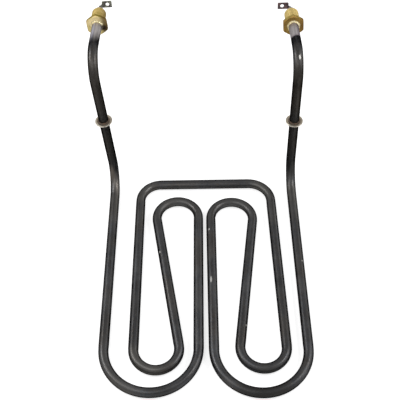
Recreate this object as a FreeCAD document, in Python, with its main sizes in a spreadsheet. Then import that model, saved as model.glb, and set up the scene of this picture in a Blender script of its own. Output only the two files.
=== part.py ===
import FreeCAD
import Part
import Sketcher
import math
import os
from FreeCAD import Vector

# Immersion heating element: a round metal sheath bent into a level serpentine,
# with two legs that rise behind it, turn level and end in threaded bushings.
# Frame: millimetres, +Z up, the serpentine lies on the ground, +Y runs from the
# front bends to the terminals, and the origin is below the middle of the part.

# Driving sizes: name, value, meaning. Lengths in millimetres, angles in degrees.
# The serpentine's bends are given from its own middle line and front line, and the
# left half's places across are measured to the left.
SIZES = (
    ("serpentine_x", 7.8, "middle line of the serpentine"),
    ("serpentine_y", -199.1, "front line of the serpentine"),
    ("sheath_diameter", 10.92, "outside of the sheath"),
    ("sheath_wall", 0.9, "wall of the sheath, open at its two ends"),
    ("bar_y", 274.2, "cross bar"),
    ("right_corner_x", 52.2, "bend at the end of the cross bar"),
    ("right_corner_radius", 26.3, "bend at the end of the cross bar"),
    ("right_small_loop_x", 58.2, "small front loop"),
    ("right_small_loop_y", 54.4, "small front loop"),
    ("right_small_loop_radius", 24.2, "small front loop"),
    ("right_rear_loop_x", 31.1, "loop in front of the cross bar"),
    ("right_rear_loop_y", 221.9, "loop in front of the cross bar"),
    ("right_rear_loop_radius", 24.3, "loop in front of the cross bar"),
    ("right_big_loop_x", 55.7, "big front loop"),
    ("right_big_loop_y", 52.5, "big front loop"),
    ("right_big_loop_radius", 49.1, "big front loop"),
    ("right_leg_x", 104.0, "foot of the leg"),
    ("right_leg_y", 257.4, "foot of the leg"),
    ("right_leg_lean", -1.1, "lean of the leg away from the middle"),
    ("right_upper_bend_radius", 24.1, "bend at the top of the leg"),
    ("left_corner_x", 51.6, "bend at the end of the cross bar"),
    ("left_corner_radius", 24.0, "bend at the end of the cross bar"),
    ("left_small_loop_x", 53.6, "small front loop"),
    ("left_small_loop_y", 54.0, "small front loop"),
    ("left_small_loop_radius", 23.9, "small front loop"),
    ("left_rear_loop_x", 31.7, "loop in front of the cross bar"),
    ("left_rear_loop_y", 224.2, "loop in front of the cross bar"),
    ("left_rear_loop_radius", 24.1, "loop in front of the cross bar"),
    ("left_big_loop_x", 59.0, "big front loop"),
    ("left_big_loop_y", 55.1, "big front loop"),
    ("left_big_loop_radius", 49.6, "big front loop"),
    ("left_leg_x", 106.8, "foot of the leg"),
    ("left_leg_y", 256.8, "foot of the leg"),
    ("left_leg_lean", 3.2, "lean of the leg away from the middle"),
    ("left_upper_bend_radius", 26.8, "bend at the top of the leg"),
    ("lower_bend_radius", 30.7, "bend at the foot of each leg"),
    ("riser_length", 126.0, "straight part of each leg"),
    ("terminal_drop", 9.0, "fall of the straight ends below level"),
    ("bushing_offset", 38.8, "upper bend to the bushing"),
    ("sheath_reach", 1.5, "sheath beyond the bushing"),
    ("hexagon_width", 22.2, "bushing across its flats"),
    ("hexagon_thickness", 4.8, "hexagon along the sheath"),
    ("hexagon_chamfer", 1.1, "turned corner, along the sheath"),
    ("left_hexagon_turn", 27.7, "a corner of the hexagon above level"),
    ("right_hexagon_turn", 27.4, "a corner of the hexagon above level"),
    ("thread_diameter", 15.88, "outside of the thread"),
    ("barrel_length", 22.2, "bushing beyond its hexagon"),
    ("thread_chamfer", 1.2, "lead of the thread"),
    ("relief_width", 2.2, "undercut beside the hexagon"),
    ("relief_depth", 0.9, "undercut beside the hexagon"),
    ("bushing_clearance", 0.06, "between the sheath and the bushing"),
    ("bushing_braze_width", 2.1, "braze on the near face of the bushing"),
    ("washer_diameter", 19.3, "washer on the leg"),
    ("washer_thickness", 1.5, "washer on the leg"),
    ("washer_chamfer", 0.35, "broken edges of the washer's rim"),
    ("washer_clearance", 0.1, "between the sheath and the washer"),
    ("washer_braze_width", 1.3, "braze on top of the washer"),
    ("left_washer_rise", 67.8, "washer above the lower bend"),
    ("right_washer_rise", 62.4, "washer above the lower bend"),
    ("pin_diameter", 3.5, "terminal pin"),
    ("pin_depth", 60.0, "terminal pin inside the sheath"),
    ("pin_chamfer", 0.3, "outer end of the terminal pin"),
    ("left_pin_reach", 13.2, "terminal pin beyond the sheath"),
    ("right_pin_reach", 11.9, "terminal pin beyond the sheath"),
    ("seal_length", 7.0, "resin seal inside the sheath"),
    ("ceramic_spigot_length", 3.0, "ceramic bushing inside the sheath"),
    ("ceramic_head_length", 4.2, "ceramic bushing outside the sheath"),
    ("ceramic_head_diameter", 10.2, "ceramic bushing outside the sheath"),
    ("ceramic_clearance", 0.1, "round the ceramic spigot, and round the pin"),
    ("ceramic_chamfer", 0.7, "outer edge of the ceramic bushing"),
    ("lug_thickness", 0.9, "strap of the terminal lug"),
    ("lug_width", 7.8, "blade of the terminal lug"),
    ("lug_foot_width", 3.9, "foot welded to the pin"),
    ("lug_foot_length", 5.5, "foot welded to the pin"),
    ("lug_seat", 0.6, "flat on the pin, from its axis"),
    ("lug_seat_runout", 0.4, "flat beyond the foot"),
    ("lug_bend_radius", 0.4, "inside of the bend to the blade"),
    ("left_lug_reach", 13.1, "tip of the blade, from the pin's axis"),
    ("right_lug_reach", 14.2, "tip of the blade, from the pin's axis"),
    ("lug_rise", 2.1, "middle of the blade above the pin's axis"),
    ("lug_hole_diameter", 4.2, "screw hole"),
    ("lug_hole_margin", 5.0, "screw hole from the tip"),
    ("lug_tip_radius", 0.8, "corners of the tip"),
    ("lug_shoulder_radius", 1.4, "upper corner beside the bend"),
)
BENDS = ("corner", "small_loop", "rear_loop", "big_loop")
# The left half is the right half's mirror image in form, with its own sizes
SIDES = {"left": -1, "right": 1}

doc = FreeCAD.newDocument("heating_element")
sheet = doc.addObject("Spreadsheet::Sheet", "sizes")
size = {}
for row, (alias, value, meaning) in enumerate(SIZES, start=1):
    sheet.set("A%d" % row, alias)
    sheet.set("B%d" % row, str(value))
    sheet.set("C%d" % row, meaning)
    sheet.setAlias("B%d" % row, alias)
    size[alias] = value
doc.recompute()

pieces = []


# A length made of shares of the driving sizes, as its value and its expression
def span(**shares):
    value = sum(share * size[alias] for alias, share in shares.items())
    text = " + ".join("%.12g * sizes.%s" % (share, alias) for alias, share in shares.items())
    return value, text


def negative(length):
    return -length[0], "-(%s)" % length[1]


def plus(*lengths):
    return sum(length[0] for length in lengths), " + ".join("(%s)" % length[1] for length in lengths)


ZERO = (0.0, "0")


def bind(sketch, kind, elements, length):
    index = sketch.addConstraint(Sketcher.Constraint(kind, *elements, length[0]))
    sketch.setExpression("Constraints[%d]" % index, length[1])


# Holds a point of a sketch at its two lengths from the sketch's origin
def placePoint(sketch, edge, end, x, y):
    for kind, axis, length in (("DistanceX", -2, x), ("DistanceY", -1, y)):
        if length[0] == 0:
            sketch.addConstraint(Sketcher.Constraint("PointOnObject", edge, end, axis))
        elif length[0] > 0:
            bind(sketch, kind, (-1, 1, edge, end), length)
        else:
            bind(sketch, kind, (edge, end, -1, 1), negative(length))


# Edges are handed on as their number, their first end and their last end
def addLine(sketch, start, end):
    line = Part.LineSegment(Vector(start[0], start[1], 0), Vector(end[0], end[1], 0))
    return sketch.addGeometry(line, False), 1, 2


# A turn of 1 runs counterclockwise and -1 clockwise
def addArc(sketch, centre, radius, start, end, turn):
    first = math.atan2(start[1] - centre[1], start[0] - centre[0])
    last = math.atan2(end[1] - centre[1], end[0] - centre[0])
    if turn < 0:
        first, last = last, first
    circle = Part.Circle(Vector(centre[0], centre[1], 0), Vector(0, 0, 1), radius)
    edge = sketch.addGeometry(Part.ArcOfCircle(circle, first, last), False)
    return (edge, 1, 2) if turn > 0 else (edge, 2, 1)


def joinTangent(sketch, edge, following):
    sketch.addConstraint(Sketcher.Constraint("Tangent", edge[0], edge[2], following[0], following[1]))


# Straight run that touches two circles, from the first to the second
def tangentRun(centre, radius, turn, nextCentre, nextRadius, nextTurn):
    across = nextCentre[0] - centre[0]
    along = nextCentre[1] - centre[1]
    heading = math.atan2(along, across)
    heading -= math.asin((nextTurn * nextRadius - turn * radius) / math.hypot(across, along))
    left = (-math.sin(heading), math.cos(heading))
    start = (centre[0] - turn * radius * left[0], centre[1] - turn * radius * left[1])
    end = (nextCentre[0] - nextTurn * nextRadius * left[0], nextCentre[1] - nextTurn * nextRadius * left[1])
    return start, end


# One half of the serpentine's centreline: from the cross bar round its corner, the
# small front loop, the rear loop and the big front loop to the foot of the leg
def serpentineHalf(sketch, name, barEnd):
    side = SIDES[name]
    turns = (-side, -side, side, side)
    radii = [size["%s_%s_radius" % (name, bend)] for bend in BENDS]
    corner = (side * size[name + "_corner_x"], size["bar_y"] - radii[0])
    centres = [corner] + [(side * size["%s_%s_x" % (name, loop)], size["%s_%s_y" % (name, loop)])
                          for loop in BENDS[1:]]
    foot = (side * size[name + "_leg_x"], size[name + "_leg_y"])
    targets = list(zip(centres[1:], radii[1:], turns[1:])) + [(foot, 0.0, side)]
    start = (corner[0], size["bar_y"])
    previous = barEnd
    for bend, centre, radius, turn, target in zip(BENDS, centres, radii, turns, targets):
        runStart, runEnd = tangentRun(centre, radius, turn, *target)
        arc = addArc(sketch, centre, radius, start, runStart, turn)
        line = addLine(sketch, runStart, runEnd)
        joinTangent(sketch, previous, arc)
        joinTangent(sketch, arc, line)
        bind(sketch, "Radius", (arc[0],), span(**{"%s_%s_radius" % (name, bend): 1}))
        middle = (-1, 1, arc[0], 3) if side > 0 else (arc[0], 3, -1, 1)
        bind(sketch, "DistanceX", middle, span(**{"%s_%s_x" % (name, bend): 1}))
        if bend != "corner":
            bind(sketch, "DistanceY", (-1, 1, arc[0], 3), span(**{"%s_%s_y" % (name, bend): 1}))
        start = runEnd
        previous = line
    legX = span(**{name + "_leg_x": side})
    placePoint(sketch, previous[0], previous[2], legX, span(**{name + "_leg_y": 1}))


def serpentinePath():
    sketch = doc.addObject("Sketcher::SketchObject", "serpentine_path")
    sketch.setExpression("Placement", "placement(vector(sizes.serpentine_x; sizes.serpentine_y; "
                         "sizes.sheath_diameter / 2); rotationz(0))")
    bar = addLine(sketch, (-size["left_corner_x"], size["bar_y"]), (size["right_corner_x"], size["bar_y"]))
    sketch.addConstraint(Sketcher.Constraint("Horizontal", bar[0]))
    bind(sketch, "DistanceY", (-1, 1, bar[0], 1), span(bar_y=1))
    serpentineHalf(sketch, "left", (bar[0], 2, 1))
    serpentineHalf(sketch, "right", bar)
    return sketch


# The leg's centreline in its own upright plane: x runs on along the outer run of
# the serpentine and y up the leg, and the straight end stops with the sheath
def legPath(name):
    sketch = doc.addObject("Sketcher::SketchObject", name + "_leg_path")
    lower = size["lower_bend_radius"]
    upper = size[name + "_upper_bend_radius"]
    drop = math.radians(size["terminal_drop"])
    foot = (lower, lower)
    top = (lower, lower + size["riser_length"])
    bendMiddle = (lower + upper, top[1])
    bendEnd = (bendMiddle[0] + upper * math.sin(drop), bendMiddle[1] + upper * math.cos(drop))
    straight = span(bushing_offset=1, hexagon_thickness=1, barrel_length=1, sheath_reach=1)
    end = (bendEnd[0] + straight[0] * math.cos(drop), bendEnd[1] - straight[0] * math.sin(drop))
    lowerBend = addArc(sketch, (0, lower), lower, (0, 0), foot, 1)
    riser = addLine(sketch, foot, top)
    upperBend = addArc(sketch, bendMiddle, upper, top, bendEnd, -1)
    straightEnd = addLine(sketch, bendEnd, end)
    joinTangent(sketch, lowerBend, riser)
    joinTangent(sketch, riser, upperBend)
    joinTangent(sketch, upperBend, straightEnd)
    sketch.addConstraint(Sketcher.Constraint("Coincident", lowerBend[0], 1, -1, 1))
    sketch.addConstraint(Sketcher.Constraint("PointOnObject", lowerBend[0], 3, -2))
    sketch.addConstraint(Sketcher.Constraint("Vertical", riser[0]))
    bind(sketch, "Radius", (lowerBend[0],), span(lower_bend_radius=1))
    bind(sketch, "Distance", (riser[0],), span(riser_length=1))
    bind(sketch, "Radius", (upperBend[0],), span(**{name + "_upper_bend_radius": 1}))
    bind(sketch, "Distance", (straightEnd[0],), straight)
    index = sketch.addConstraint(Sketcher.Constraint("Angle", riser[0], 2, straightEnd[0], 1,
                                                     math.pi / 2 - drop))
    sketch.setExpression("Constraints[%d]" % index, "90 - sizes.terminal_drop")
    return sketch


# The heading of the outer run, which leaves the big loop as its tangent
def legHeading(name):
    across = "(sizes.%s_leg_x - sizes.%s_big_loop_x)" % (name, name)
    along = "(sizes.%s_leg_y - sizes.%s_big_loop_y)" % (name, name)
    turned = "asin(sizes.%s_big_loop_radius / hypot(%s; %s))" % (name, across, along)
    return "atan2(%s; %d * %s) + %d * %s" % (along, SIDES[name], across, SIDES[name], turned)


# Stands a leg's sketch up on the end of its outer run, with its lean
def legFrame(name):
    side = SIDES[name]
    foot = ("vector(sizes.serpentine_x + %d * sizes.%s_leg_x; sizes.serpentine_y + sizes.%s_leg_y; "
            "sizes.sheath_diameter / 2)" % (side, name, name))
    aim = "rotationz(%s) * rotationx(90 + %d * sizes.%s_leg_lean)" % (legHeading(name), side, name)
    return "placement(%s; %s)" % (foot, aim)


# Frame on the straight end of a leg, a length beyond its upper bend: z runs out
# along the sheath, y points up and x to the left
def endFrame(name, along, turn="0"):
    upper = "sizes.%s_upper_bend_radius" % name
    level = "sizes.lower_bend_radius + %s * (1 + sin(sizes.terminal_drop))" % upper
    height = "sizes.lower_bend_radius + sizes.riser_length + %s * cos(sizes.terminal_drop)" % upper
    base = ("vector(%s + (%s) * cos(sizes.terminal_drop); %s - (%s) * sin(sizes.terminal_drop); 0)"
            % (level, along, height, along))
    aim = "rotationz(-sizes.terminal_drop) * rotationy(90) * rotationz(%s)" % turn
    return "%s_leg_path.Placement * placement(%s; %s)" % (name, base, aim)


# Frame on the straight part of a leg, a length above its lower bend: z runs up
def riserFrame(name, rise):
    base = "vector(sizes.lower_bend_radius; sizes.lower_bend_radius + %s; 0)" % rise
    return "%s_leg_path.Placement * placement(%s; rotationx(-90))" % (name, base)


BUSHING = "sizes.bushing_offset"
SHEATH_END = BUSHING + " + sizes.hexagon_thickness + sizes.barrel_length + sizes.sheath_reach"


def pinEnd(name):
    return SHEATH_END + " + sizes.%s_pin_reach" % name


def newBody(name, frame):
    body = doc.addObject("PartDesign::Body", name)
    body.Label = name
    body.setExpression("Placement", frame)
    pieces.append(body)
    return body


# Sketch on one of the body's own planes, raised from it by an offset
def bodySketch(body, name, role, offset=ZERO):
    sketch = body.newObject("Sketcher::SketchObject", body.Name + "_" + name)
    plane = next(feature for feature in body.Origin.OriginFeatures if feature.Role == role)
    sketch.AttachmentSupport = [(plane, "")]
    sketch.MapMode = "FlatFace"
    sketch.setExpression("AttachmentOffset.Base.z", offset[1])
    return sketch


# Closed outline through corners; turns has, by the number of the edge that leaves a
# corner, the radius and the turn of each edge that is an arc
def addOutline(sketch, corners, turns):
    edges = []
    for number, (x, y) in enumerate(corners):
        following = corners[(number + 1) % len(corners)]
        start = (x[0], y[0])
        end = (following[0][0], following[1][0])
        if number in turns:
            radius, turn = turns[number]
            chord = math.hypot(end[0] - start[0], end[1] - start[1])
            depth = turn * math.sqrt(radius[0] ** 2 - chord ** 2 / 4) / chord
            centre = ((start[0] + end[0]) / 2 - depth * (end[1] - start[1]),
                      (start[1] + end[1]) / 2 + depth * (end[0] - start[0]))
            edges.append(addArc(sketch, centre, radius[0], start, end, turn))
        else:
            edges.append(addLine(sketch, start, end))
    for number, edge in enumerate(edges):
        following = edges[(number + 1) % len(edges)]
        sketch.addConstraint(Sketcher.Constraint("Coincident", edge[0], edge[2], following[0], following[1]))
        placePoint(sketch, edge[0], edge[1], *corners[number])
        if number in turns:
            bind(sketch, "Radius", (edge[0],), turns[number][0])


def addCircle(sketch, x, y, radius):
    circle = Part.Circle(Vector(x[0], y[0], 0), Vector(0, 0, 1), radius[0])
    edge = sketch.addGeometry(circle, False)
    placePoint(sketch, edge, 3, x, y)
    bind(sketch, "Radius", (edge,), radius)


# Turned form: a profile beside the body's z axis, right of it, swung once round
def turnProfile(body, name, corners, kind="PartDesign::Revolution"):
    sketch = bodySketch(body, name + "_profile", "XZ_Plane")
    addOutline(sketch, corners, {})
    feature = body.newObject(kind, body.Name + "_" + name)
    feature.Profile = sketch
    feature.ReferenceAxis = (sketch, ["V_Axis"])
    feature.Angle = 360
    return feature


def pad(body, name, sketch, length, reverse=False):
    feature = body.newObject("PartDesign::Pad", body.Name + "_" + name)
    feature.Profile = sketch
    feature.setExpression("Length", length[1])
    feature.Reversed = reverse
    return feature


# The sheath is drawn down on its packed powder and wire coil and sealed, so they
# are one solid with it; its ends are bored for the pins and opened for the seals
def heatingTube():
    legs = [legPath("left"), legPath("right")]
    for name, leg in zip(SIDES, legs):
        leg.setExpression("Placement", legFrame(name))
    path = doc.addObject("Part::Compound", "element_path")
    path.Links = [legs[0], serpentinePath(), legs[1]]
    section = doc.addObject("Part::Circle", "sheath_section")
    section.setExpression("Radius", "sizes.sheath_diameter / 2")
    section.setExpression("Placement", endFrame("left", SHEATH_END))
    doc.recompute()
    rod = doc.addObject("Part::Sweep", "sheath_rod")
    rod.Sections = [section]
    rod.Spine = (path, runningOrder(path.Shape, section.Placement.Base))
    rod.Solid = True
    rod.Frenet = False
    bores = []
    for name in SIDES:
        for bore, radius, depth in (
                ("pin_bore", "sizes.pin_diameter / 2", "sizes.pin_depth"),
                ("seal_bore", "sizes.sheath_diameter / 2 - sizes.sheath_wall",
                 "sizes.seal_length + sizes.ceramic_spigot_length")):
            cylinder = doc.addObject("Part::Cylinder", "%s_%s" % (name, bore))
            cylinder.setExpression("Radius", radius)
            cylinder.setExpression("Height", depth)
            cylinder.setExpression("Placement", endFrame(name, "%s - (%s)" % (SHEATH_END, depth)))
            bores.append(cylinder)
    tools = doc.addObject("Part::MultiFuse", "end_bores")
    tools.Shapes = bores
    tube = doc.addObject("Part::Cut", "heating_tube")
    tube.Base = rod
    tube.Tool = tools
    pieces.append(tube)


# Names of a path's edges in the order in which they follow each other from a point
def runningOrder(shape, point):
    left = dict(enumerate(shape.Edges, start=1))
    order = []
    while left:
        number = min(left, key=lambda key: min(point.distanceToPoint(vertex.Point)
                                               for vertex in left[key].Vertexes))
        edge = left.pop(number)
        point = max((vertex.Point for vertex in edge.Vertexes), key=point.distanceToPoint)
        order.append("Edge%d" % number)
    return order


# A regular hexagon on its construction circle, with one corner on the x axis
def addHexagon(sketch, width):
    radius = width / math.sqrt(3)
    corners = [(radius * math.cos(math.radians(60 * k)), radius * math.sin(math.radians(60 * k)))
               for k in range(6)]
    circle = sketch.addGeometry(Part.Circle(Vector(0, 0, 0), Vector(0, 0, 1), radius), True)
    sketch.addConstraint(Sketcher.Constraint("Coincident", circle, 3, -1, 1))
    index = sketch.addConstraint(Sketcher.Constraint("Radius", circle, radius))
    sketch.setExpression("Constraints[%d]" % index, "sizes.hexagon_width / sqrt(3)")
    edges = [addLine(sketch, corners[k], corners[(k + 1) % 6]) for k in range(6)]
    sketch.addConstraint(Sketcher.Constraint("PointOnObject", edges[0][0], 1, -1))
    for number, edge in enumerate(edges):
        following = edges[(number + 1) % 6]
        sketch.addConstraint(Sketcher.Constraint("Coincident", edge[0], 2, following[0], 1))
        sketch.addConstraint(Sketcher.Constraint("PointOnObject", edge[0], 1, circle))
        if number > 0:
            sketch.addConstraint(Sketcher.Constraint("Equal", edges[0][0], edge[0]))


# Bulkhead bushing: a hexagon whose corners are turned off on both faces, an
# undercut beside it and a barrel for the thread, bored to slide on the sheath
def threadedBushing(name):
    body = newBody(name + "_threaded_bushing", endFrame(name, BUSHING, "sizes.%s_hexagon_turn" % name))
    bore = span(sheath_diameter=0.5, bushing_clearance=1)
    sketch = bodySketch(body, "hexagon_outline", "XY_Plane")
    addHexagon(sketch, size["hexagon_width"])
    addCircle(sketch, ZERO, ZERO, bore)
    pad(body, "hexagon", sketch, span(hexagon_thickness=1))
    root = span(thread_diameter=0.5, relief_depth=-1)
    thread = span(thread_diameter=0.5)
    lead = span(thread_diameter=0.5, thread_chamfer=-1)
    shoulder = span(hexagon_thickness=1)
    turnProfile(body, "barrel", (
        (bore, shoulder),
        (root, shoulder),
        (root, span(hexagon_thickness=1, relief_width=1)),
        (thread, span(hexagon_thickness=1, relief_width=1)),
        (thread, span(hexagon_thickness=1, barrel_length=1, thread_chamfer=-1)),
        (lead, span(hexagon_thickness=1, barrel_length=1)),
        (bore, span(hexagon_thickness=1, barrel_length=1)),
    ))
    # The turning starts at the flats and cuts its full depth at the corners, which
    # lie 2 / sqrt(3) times as far out, and the profile is drawn twice as long
    flats = span(hexagon_width=0.5)
    outside = span(hexagon_width=2 / math.sqrt(3) - 0.5)
    turnProfile(body, "near_turning", (
        (flats, ZERO),
        (outside, ZERO),
        (outside, span(hexagon_chamfer=2)),
    ), kind="PartDesign::Groove")
    turnProfile(body, "far_turning", (
        (flats, shoulder),
        (outside, span(hexagon_thickness=1, hexagon_chamfer=-2)),
        (outside, shoulder),
    ), kind="PartDesign::Groove")


# Ring of braze in the corner between the sheath and a face across it; side is 1
# where the ring lies beyond the face and -1 before it
def brazeRing(name, frame, width, face, side):
    body = newBody(name, frame)
    inner = span(sheath_diameter=0.5)
    outer = span(sheath_diameter=0.5, **{width: 1})
    tip = plus(face, span(**{width: side}))
    turnProfile(body, "ring", ((inner, face), (outer, face), (inner, tip)))


def legWasher(name):
    body = newBody(name + "_leg_washer", riserFrame(name, "sizes.%s_washer_rise" % name))
    inner = span(sheath_diameter=0.5, washer_clearance=1)
    outer = span(washer_diameter=0.5)
    face = span(washer_diameter=0.5, washer_chamfer=-1)
    top = span(washer_thickness=1)
    turnProfile(body, "disc", (
        (inner, ZERO),
        (face, ZERO),
        (outer, span(washer_chamfer=1)),
        (outer, span(washer_thickness=1, washer_chamfer=-1)),
        (face, top),
        (inner, top),
    ))


def endSeal(name):
    body = newBody(name + "_end_seal", endFrame(name, SHEATH_END))
    sketch = bodySketch(body, "outline", "XY_Plane", span(seal_length=-1, ceramic_spigot_length=-1))
    addCircle(sketch, ZERO, ZERO, span(sheath_diameter=0.5, sheath_wall=-1))
    addCircle(sketch, ZERO, ZERO, span(pin_diameter=0.5))
    pad(body, "ring", sketch, span(seal_length=1))


def ceramicBushing(name):
    body = newBody(name + "_ceramic_bushing", endFrame(name, SHEATH_END))
    bore = span(pin_diameter=0.5, ceramic_clearance=1)
    spigot = span(sheath_diameter=0.5, sheath_wall=-1, ceramic_clearance=-1)
    head = span(ceramic_head_diameter=0.5)
    turnProfile(body, "form", (
        (bore, span(ceramic_spigot_length=-1)),
        (spigot, span(ceramic_spigot_length=-1)),
        (spigot, ZERO),
        (head, ZERO),
        (head, span(ceramic_head_length=1, ceramic_chamfer=-1)),
        (span(ceramic_head_diameter=0.5, ceramic_chamfer=-1), span(ceramic_head_length=1)),
        (bore, span(ceramic_head_length=1)),
    ))


# Round pin with a flat pressed on it where the lug is welded
def terminalPin(name):
    body = newBody(name + "_terminal_pin", endFrame(name, pinEnd(name)))
    inner = span(**{"pin_depth": -1, name + "_pin_reach": -1})
    radius = span(pin_diameter=0.5)
    turnProfile(body, "rod", (
        (ZERO, inner),
        (radius, inner),
        (radius, span(pin_chamfer=-1)),
        (span(pin_diameter=0.5, pin_chamfer=-1), ZERO),
        (ZERO, ZERO),
    ))
    # The lug's side is x positive on the right element end, towards the middle
    seat = span(lug_seat=SIDES[name])
    outside = span(pin_diameter=SIDES[name])
    below = span(pin_diameter=-1)
    above = span(pin_diameter=1)
    sketch = bodySketch(body, "seat_outline", "XY_Plane")
    addOutline(sketch, ((seat, below), (outside, below), (outside, above), (seat, above)), {})
    pocket = body.newObject("PartDesign::Pocket", body.Name + "_seat")
    pocket.Profile = sketch
    pocket.setExpression("Length", span(lug_foot_length=1, lug_seat_runout=1)[1])


# Flag lug stamped from one strap: a foot welded along the pin, a bend across the
# pin's end, and a wider blade with a screw hole that points to the middle
def terminalLug(name):
    body = newBody(name + "_terminal_lug", endFrame(name, pinEnd(name)))
    side = SIDES[name]

    def outward(**shares):
        return span(**{alias: side * share for alias, share in shares.items()})

    seat = outward(lug_seat=1)
    footFace = outward(lug_seat=1, lug_thickness=1)
    bendEnd = outward(lug_seat=1, lug_thickness=1, lug_bend_radius=1)
    inside = span(lug_bend_radius=1)
    outside = span(lug_bend_radius=1, lug_thickness=1)
    footEnd = span(lug_foot_length=-1)
    bottomEdge = span(lug_rise=1, lug_width=-0.5)
    strap = bodySketch(body, "strap_outline", "XZ_Plane", negative(bottomEdge))
    addOutline(strap, (
        (seat, footEnd),
        (seat, ZERO),
        (bendEnd, outside),
        (bendEnd, inside),
        (footFace, ZERO),
        (footFace, footEnd),
    ), {1: (outside, -side), 3: (inside, side)})
    pad(body, "strap", strap, span(lug_foot_width=1), reverse=True)
    tip = outward(**{name + "_lug_reach": 1})
    tipCorner = outward(**{name + "_lug_reach": 1, "lug_tip_radius": -1})
    tipRadius = span(lug_tip_radius=1)
    topEdge = span(lug_rise=1, lug_width=0.5)
    blade = bodySketch(body, "blade_outline", "XY_Plane", inside)
    addOutline(blade, (
        (bendEnd, bottomEdge),
        (tipCorner, bottomEdge),
        (tip, plus(bottomEdge, tipRadius)),
        (tip, plus(topEdge, negative(tipRadius))),
        (tipCorner, topEdge),
        (outward(lug_seat=1, lug_thickness=1, lug_bend_radius=1, lug_shoulder_radius=1), topEdge),
        (bendEnd, plus(topEdge, span(lug_shoulder_radius=-1))),
    ), {1: (tipRadius, side), 3: (tipRadius, side), 5: (span(lug_shoulder_radius=1), side)})
    hole = outward(**{name + "_lug_reach": 1, "lug_hole_margin": -1})
    addCircle(blade, hole, span(lug_rise=1), span(lug_hole_diameter=0.5))
    pad(body, "blade", blade, span(lug_thickness=1))


heatingTube()
for name in SIDES:
    threadedBushing(name)
    brazeRing(name + "_bushing_braze", endFrame(name, BUSHING), "bushing_braze_width", ZERO, -1)
    legWasher(name)
    brazeRing(name + "_washer_braze", riserFrame(name, "sizes.%s_washer_rise" % name),
              "washer_braze_width", span(washer_thickness=1), 1)
    terminalPin(name)
    endSeal(name)
    ceramicBushing(name)
    terminalLug(name)
doc.recompute()

faults = [item.Name for item in doc.Objects if "Invalid" in item.State or "Error" in item.State]
faults += [piece.Name for piece in pieces if piece.Shape.isNull() or not piece.Shape.isValid()]
if faults:
    raise RuntimeError("these failed: " + ", ".join(faults))
os.makedirs("parts", exist_ok=True)
for piece in pieces:
    piece.Shape.exportStep("parts/%s.step" % piece.Label)
    print(piece.Label, round(piece.Shape.Volume, 1), "mm3")
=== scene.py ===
import bpy
import math
from mathutils import Matrix, Vector, noise


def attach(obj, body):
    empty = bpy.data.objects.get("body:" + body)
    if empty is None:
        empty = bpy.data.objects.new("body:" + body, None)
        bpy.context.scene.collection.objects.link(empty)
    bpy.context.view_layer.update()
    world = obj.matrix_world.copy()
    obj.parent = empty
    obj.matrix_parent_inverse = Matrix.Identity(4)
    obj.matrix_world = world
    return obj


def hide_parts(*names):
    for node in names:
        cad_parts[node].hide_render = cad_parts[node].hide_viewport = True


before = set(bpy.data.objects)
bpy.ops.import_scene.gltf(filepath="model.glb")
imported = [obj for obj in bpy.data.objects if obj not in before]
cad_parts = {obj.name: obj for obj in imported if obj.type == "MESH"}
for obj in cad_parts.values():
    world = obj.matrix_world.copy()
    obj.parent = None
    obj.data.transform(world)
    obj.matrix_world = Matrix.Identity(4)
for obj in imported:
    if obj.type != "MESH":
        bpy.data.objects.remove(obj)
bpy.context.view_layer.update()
mm = 0.001
print("frame loaded:", len(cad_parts), "nodes")


# Node helpers: an input is given a fixed value or the socket that feeds it
def give(tree, socket, value):
    if isinstance(value, bpy.types.NodeSocket):
        tree.links.new(value, socket)
    else:
        socket.default_value = value


def addNode(tree, kind, inputs=None, **settings):
    node = tree.nodes.new("ShaderNode" + kind)
    for name, value in settings.items():
        setattr(node, name, value)
    for key, value in (inputs or {}).items():
        give(tree, node.inputs[key], value)
    return node


def calc(tree, operation, first, second=0.0, third=0.0):
    return addNode(tree, "Math", {0: first, 1: second, 2: third}, operation=operation).outputs[0]


def times(tree, product, *factors):
    for factor in factors:
        product = calc(tree, "MULTIPLY", product, factor)
    return product


def inverted(tree, mask):
    return calc(tree, "SUBTRACT", 1.0, mask)


def vectorCalc(tree, operation, first, second=(0.0, 0.0, 0.0), output="Vector"):
    return addNode(tree, "VectorMath", {0: first, 1: second}, operation=operation).outputs[output]


def distanceFrom(tree, vector, place=(0.0, 0.0, 0.0)):  # place in millimetres
    return vectorCalc(tree, "DISTANCE", vector, Vector(place) * mm, "Value")


def split(tree, vector):
    return addNode(tree, "SeparateXYZ", {0: vector}).outputs


def fromAxis(tree, parts):  # distance from the z axis
    squares = calc(tree, "ADD", times(tree, parts[0], parts[0]), times(tree, parts[1], parts[1]))
    return calc(tree, "SQRT", squares)


def mixColour(tree, factor, first, second):
    inputs = {"Factor": factor, 6: first, 7: second}
    return addNode(tree, "Mix", inputs, data_type="RGBA").outputs[2]


def mixValue(tree, factor, first, second):
    return addNode(tree, "Mix", {0: factor, 2: first, 3: second}, data_type="FLOAT").outputs[0]


def layTones(tree, colour, layers, values):  # each layer: the name of its share, its mask and its tone
    for name, mask, tone in layers:
        colour = mixColour(tree, times(tree, mask, values["shares"][name]), colour, values[tone])
    return colour


def rangeMask(tree, value, low, high):  # 0 at low, 1 at high, soft between
    inputs = {"Value": value, "From Min": low, "From Max": high}
    return addNode(tree, "MapRange", inputs, interpolation_type="SMOOTHSTEP").outputs[0]


def reachMask(tree, value, limits):  # the same between two distances in millimetres
    return rangeMask(tree, value, limits[0] * mm, limits[1] * mm)


def band(tree, value, low, high, soft):  # 1 between low and high, with soft ends, in millimetres
    rise = reachMask(tree, value, (low - soft, low + soft))
    return calc(tree, "SUBTRACT", rise, reachMask(tree, value, (high - soft, high + soft)))


def ragged(tree, value, height, size):  # a distance that wanders by size, in millimetres
    return calc(tree, "MULTIPLY_ADD", height, size * mm, calc(tree, "SUBTRACT", value, size / 2 * mm))


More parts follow.
